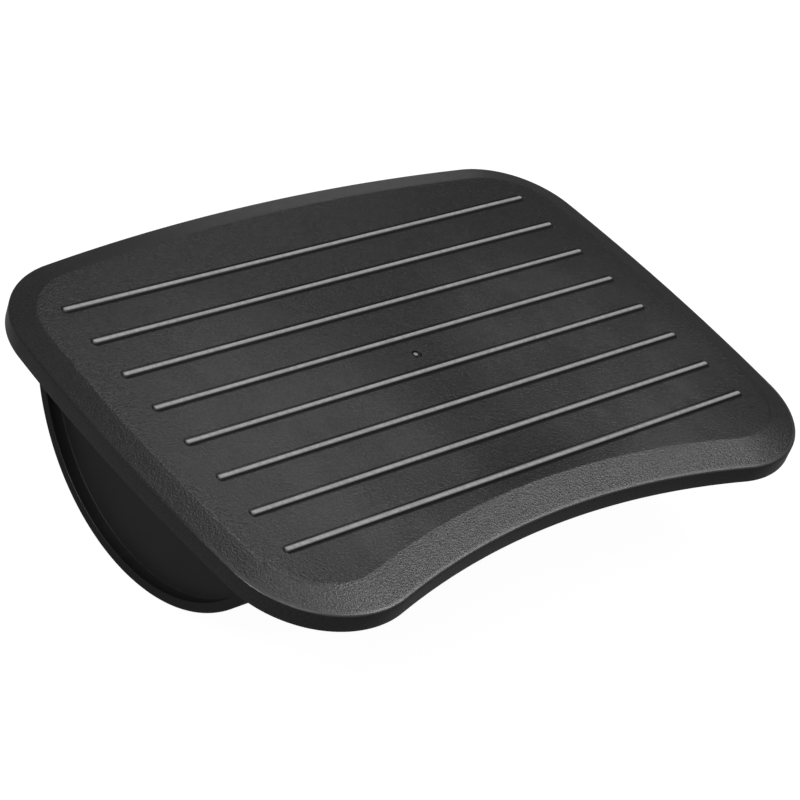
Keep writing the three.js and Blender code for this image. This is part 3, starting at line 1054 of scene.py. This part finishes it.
def tread_rubber():
    """Matt black rubber, greyed by dust where it rolls on the floor."""
    finish = Finish("tread_rubber")
    fine = finish.noise(tread_fine_scale, detail=3.0, roughness=0.6)
    dust = finish.noise(dust_scale, detail=4.0, roughness=0.65)
    dusty = (1 - finish.axis("Z").between(*dust_heights)) * dust.between(*dust_band)
    finish.set(
        base_color=finish.mix(dusty * dust_cover, tread_colour, dust_colour),
        roughness=tread_roughness + dust * dust_roughness,
        normal=finish.bump(fine, tread_relief, strength=0.6),
        specular_ior_level=0.35,
    )
    return finish.material


rubber_black = tread_rubber()
for name, (low, high) in zip(tread_names, tread_boxes):
    tread = floor_tread(name + "_rubber", low, high)
    tread.data.materials.append(rubber_black)
    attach(tread, "root")
    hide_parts(name)


# Screws: eight zinc-plated self-tapping screws with domed heads and cross recesses. Each sits head down
# at the top of its well in the drum and runs up into a boss of the foot plate.

screw_radius = 1.9 * mm
screw_head_height = 2.4 * mm
screw_steps = 36
thread_turns = 12
thread_root_share = 0.84
thread_root_rise_share = 0.3
thread_crest_rise_share = 0.75
thread_end_margin = 2 * mm
tip_length = 1 * mm
tip_start_share = 0.7
tip_end_share = 0.1
# The head's outline as (radius, rise), and the recess as (half length, half width, rise), in millimetres.
screw_head_outline = (
    (0.4, 0), (1.7, 0.03), (2.7, 0.28), (3.4, 0.85), (3.72, 1.5), (3.8, 1.9), (3.8, 2.3), (3.7, 2.4))
screw_recess_levels = ((2.5, 0.55, -0.4), (1.5, 0.34, 1.5))


def recess_blade(place, bottom, turn):
    """One of the two tapered blades that cut the cross recess."""
    mesh = bmesh.new()
    lengthways = Matrix.Rotation(turn, 2)
    rings = []
    for length, width, rise in screw_recess_levels:
        corners = ((-length, -width), (length, -width), (length, width), (-length, width))
        outline = [place.xy + lengthways @ Vector(corner) * mm for corner in corners]
        rings.append(ring(mesh, outline, bottom + rise * mm))
    close(mesh, rings)
    return piece("recess", mesh)


def screw(name, place, low, high):
    """One screw: its domed head, its thread and its tip, from the head upwards."""
    head_top = low.z + screw_head_height
    levels = [(radius * mm, low.z + rise * mm) for radius, rise in screw_head_outline]
    levels.append((screw_radius, head_top))
    pitch = (high.z - head_top - thread_end_margin) / thread_turns
    for i in range(thread_turns):
        foot = head_top + i * pitch
        levels.append((screw_radius * thread_root_share, foot + pitch * thread_root_rise_share))
        levels.append((screw_radius, foot + pitch * thread_crest_rise_share))
    levels.append((screw_radius * tip_start_share, high.z - tip_length))
    levels.append((screw_radius * tip_end_share, high.z))
    made = bars(name, [place], levels, screw_steps)
    for turn in (0, quarter_turn):
        carve(made, recess_blade(place, low.z, turn), "DIFFERENCE")
    smooth(made)
    return made


zinc_colour = (0.56, 0.57, 0.58)
zinc_cloud_scale = 700
zinc_cloud_shares = (0.8, 1)
zinc_roughness = 0.3
zinc_cloud_roughness = 0.18
zinc_relief = 0.03 * mm


def zinc():
    """Zinc plate, slightly clouded and dulled."""
    finish = Finish("zinc")
    cloud = finish.noise(zinc_cloud_scale, detail=3.0, roughness=0.6)
    finish.set(
        base_color=finish.mottled(cloud.between(*broad_band), zinc_colour, zinc_cloud_shares),
        metallic=1.0,
        roughness=zinc_roughness + cloud * zinc_cloud_roughness,
        normal=finish.bump(cloud, zinc_relief, strength=0.4),
    )
    return finish.material


plated = zinc()
for name, place, (low, high) in zip(screw_names, screw_places, screw_boxes):
    fastener = screw(name + "_plated", place, low, high)
    fastener.data.materials.clear()
    fastener.data.materials.append(plated)
    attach(fastener, "root")
    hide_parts(name)


# Studio: a plain white floor that keeps a soft shadow, white surroundings for the camera, and seven soft
# square lamps. The key and the two sheens come from the right, one lamp hangs overhead, one stands low
# behind the right side, and two fill the left and the front.

ambient = 0.06
mirrored = 0.12
floor_radius = 8
floor_steps = 64
floor_grey = (0.12, 0.12, 0.12)
floor_pale = (0.9, 0.9, 0.9)
floor_white_share = 0.85
floor_roughness = 0.9
floor_glow = 1.15
white = (1, 1, 1, 1)


def by_ray(finish, light, glossy, camera):
    """A strength for each kind of ray: light on the object, its reflections, and the camera or glass."""
    camera_ray = finish.make("ShaderNodeLightPath", output="Is Camera Ray")
    glass_ray = finish.make("ShaderNodeLightPath", output="Is Transmission Ray")
    glossy_ray = finish.make("ShaderNodeLightPath", output="Is Glossy Ray")
    return light + glossy_ray * (glossy - light) + (camera_ray + glass_ray) * (camera - light)


def floor():
    """The floor: pale and partly glowing for the camera, dark grey for the light on the object."""
    mesh = bmesh.new()
    mesh.faces.new(ring(mesh, arc(Vector((0, 0)), floor_radius, 0, whole_turn, floor_steps), 0))
    made = piece("studio_floor", mesh)
    finish = Finish("studio_floor")
    tone = finish.mix(by_ray(finish, 0, 0, 1), floor_grey, floor_pale)
    finish.set(base_color=tone, roughness=floor_roughness, specular_ior_level=0.0)
    own = Shade(finish, finish.shader.outputs[0])
    plain = finish.make("ShaderNodeEmission", None, {"Color": white, "Strength": floor_glow})
    mask = by_ray(finish, 0, mirrored * floor_white_share, floor_white_share)
    both = finish.make("ShaderNodeMixShader", None, {0: mask, 1: own, 2: plain})
    finish.connect(finish.tree.nodes["Material Output"].inputs["Surface"], both)
    made.data.materials.append(finish.material)


class Surroundings(Finish):
    """The world's material, which Finish's nodes work on too."""

    def __init__(self, name):
        self.world = bpy.data.worlds.new(name)
        self.world.use_nodes = True
        self.tree = self.world.node_tree


def surroundings():
    """White for the camera, and a weak even light for everything else."""
    around = Surroundings("studio")
    back = around.tree.nodes["Background"]
    around.connect(back.inputs["Color"], white)
    around.connect(back.inputs["Strength"], by_ray(around, ambient, mirrored, 1))
    bpy.context.scene.world = around.world


strips_middle = Vector((0, rows_middle.y, strip_top))
lamp_distance = 1.7
small_lamp = 0.45
large_lamp = 0.6


def soft_light(name, azimuth, elevation, size, power):
    """A square lamp aimed at the footrest. Its azimuth is from +X towards +Y, in degrees."""
    turn = math.radians(azimuth)
    rise = math.radians(elevation)
    way = Vector((math.cos(turn) * math.cos(rise), math.sin(turn) * math.cos(rise), math.sin(rise)))
    light = bpy.data.lights.new(name, "AREA")
    light.shape = "SQUARE"
    light.size = size
    light.energy = power
    made = bpy.data.objects.new(name, light)
    made.location = strips_middle + way * lamp_distance
    made.rotation_mode = "QUATERNION"
    made.rotation_quaternion = (-way).to_track_quat("-Z", "Y")
    bpy.context.scene.collection.objects.link(made)


floor()
surroundings()
soft_light("key", azimuth=0, elevation=57, size=small_lamp, power=4.6)
soft_light("front_sheen", azimuth=10, elevation=47, size=small_lamp, power=1.5)
soft_light("back_sheen", azimuth=50, elevation=55, size=small_lamp, power=2.2)
soft_light("horizon", azimuth=50, elevation=13, size=small_lamp, power=0.31)
soft_light("top", azimuth=0, elevation=85, size=small_lamp, power=2.4)
soft_light("left_fill", azimuth=180, elevation=35, size=large_lamp, power=9.2)
soft_light("front_fill", azimuth=217, elevation=60, size=large_lamp, power=4.4)


# Camera, fitted to the ends of the eight strips in the photograph. The photograph shows the footrest
# tilted towards the sitter, so the camera is turned about its line of sight to see the level one alike.

focal_length = 110.52
sensor_width = 36
camera_right = Vector((0.73245, -0.61856, 0.28443))
camera_up = Vector((0.22552, 0.61462, 0.75589))
camera_back = Vector((-0.64239, -0.48951, 0.58968))
camera_from_strips = Vector((-0.9841, -0.7503, 0.8647))
camera_data = bpy.data.cameras.new("camera")
camera_data.lens = focal_length
camera_data.sensor_width = sensor_width
camera = bpy.data.objects.new("camera", camera_data)
bpy.context.scene.collection.objects.link(camera)
turned = Matrix((camera_right, camera_up, camera_back)).transposed()
camera.matrix_world = Matrix.Translation(strips_middle + camera_from_strips) @ turned.to_4x4()
bpy.context.scene.camera = camera
bpy.context.scene.view_settings.view_transform = "Standard"
